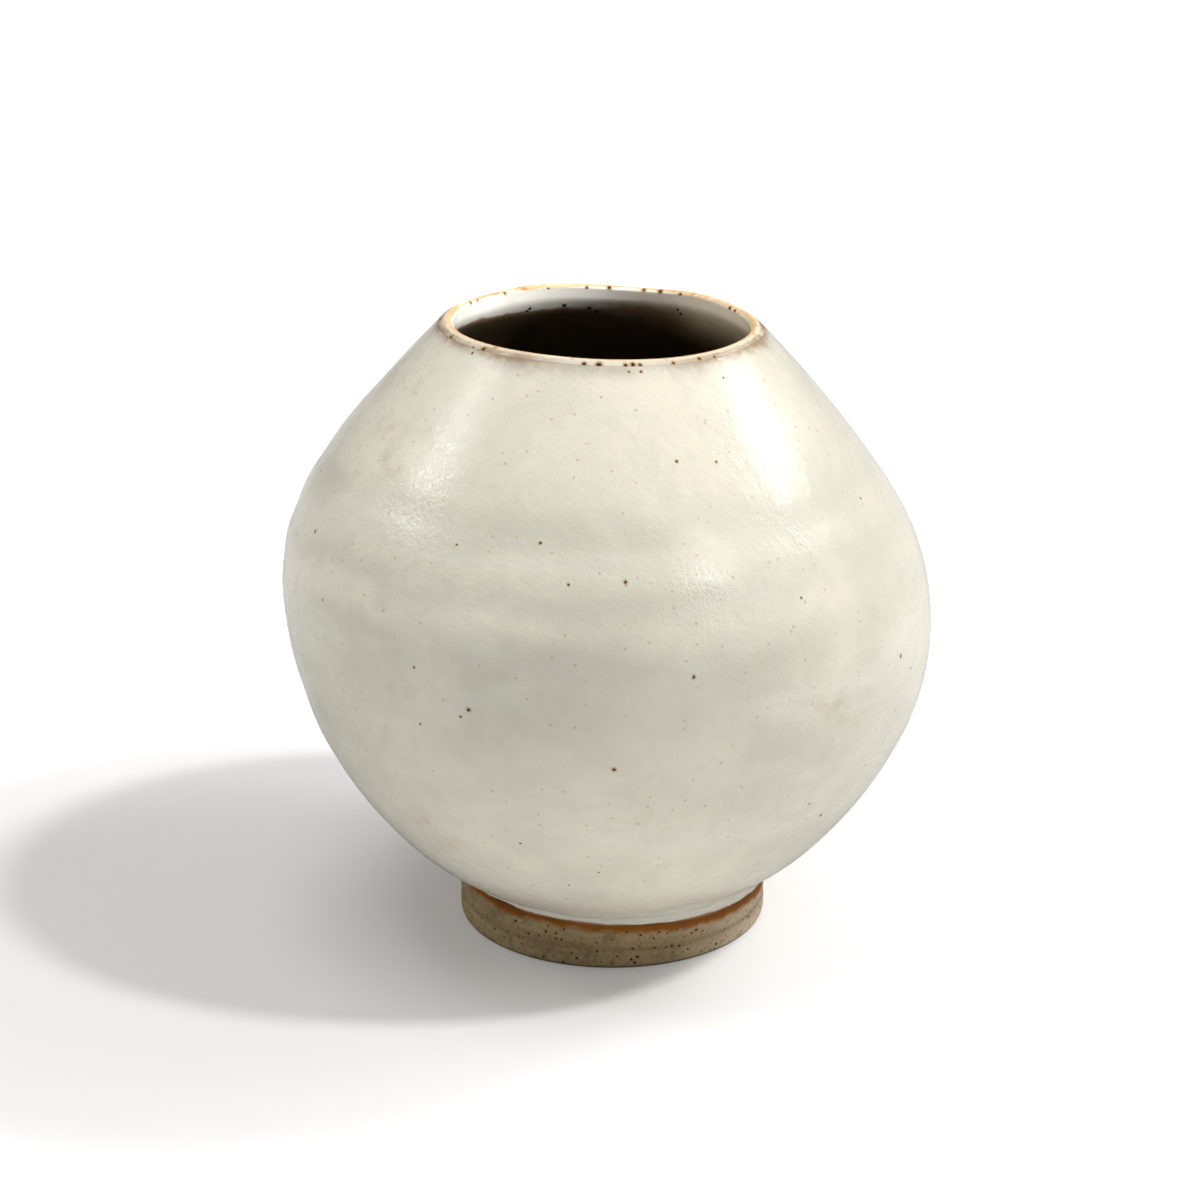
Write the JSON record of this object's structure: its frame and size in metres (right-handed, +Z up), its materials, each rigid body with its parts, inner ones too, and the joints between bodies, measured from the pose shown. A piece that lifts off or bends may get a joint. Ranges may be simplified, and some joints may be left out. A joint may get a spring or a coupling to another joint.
{
  "type": "moon jar",
  "caption": "Round, slightly lopsided stoneware jar of joined thrown bowls on a foot ring, with a wide mouth and a speckled off-white glaze, for holding things or standing on show.",
  "frame": {"origin": "centre of the foot ring's flat resting face, on the table", "axes": "+Z up along the foot's axis, +X to the right as the picture shows the jar, -Y towards the viewer"},
  "size_m": [0.1562, 0.1556, 0.1504],
  "materials": {
    "bare_stoneware": "bare speckled grey-brown stoneware, matt",
    "joining_slip": "fired joining slip, matt",
    "lip_stoneware": "tan lip where the glaze breaks thin, satin with brown specks",
    "outer_glaze": "semi-gloss cloudy off-white glaze with brown iron spots",
    "inner_glaze": "dark iron-brown glaze with an off-white collar below the lip"
  },
  "bodies": {
    "root": {"foot_ring": "bare_stoneware", "foot_slip": "joining_slip", "lower_bowl": "bare_stoneware", "belly_slip": "joining_slip", "upper_bowl": "bare_stoneware", "mouth_rim": "lip_stoneware", "outer_glaze": "outer_glaze", "inner_glaze": "inner_glaze"}
  },
  "joints": []
}
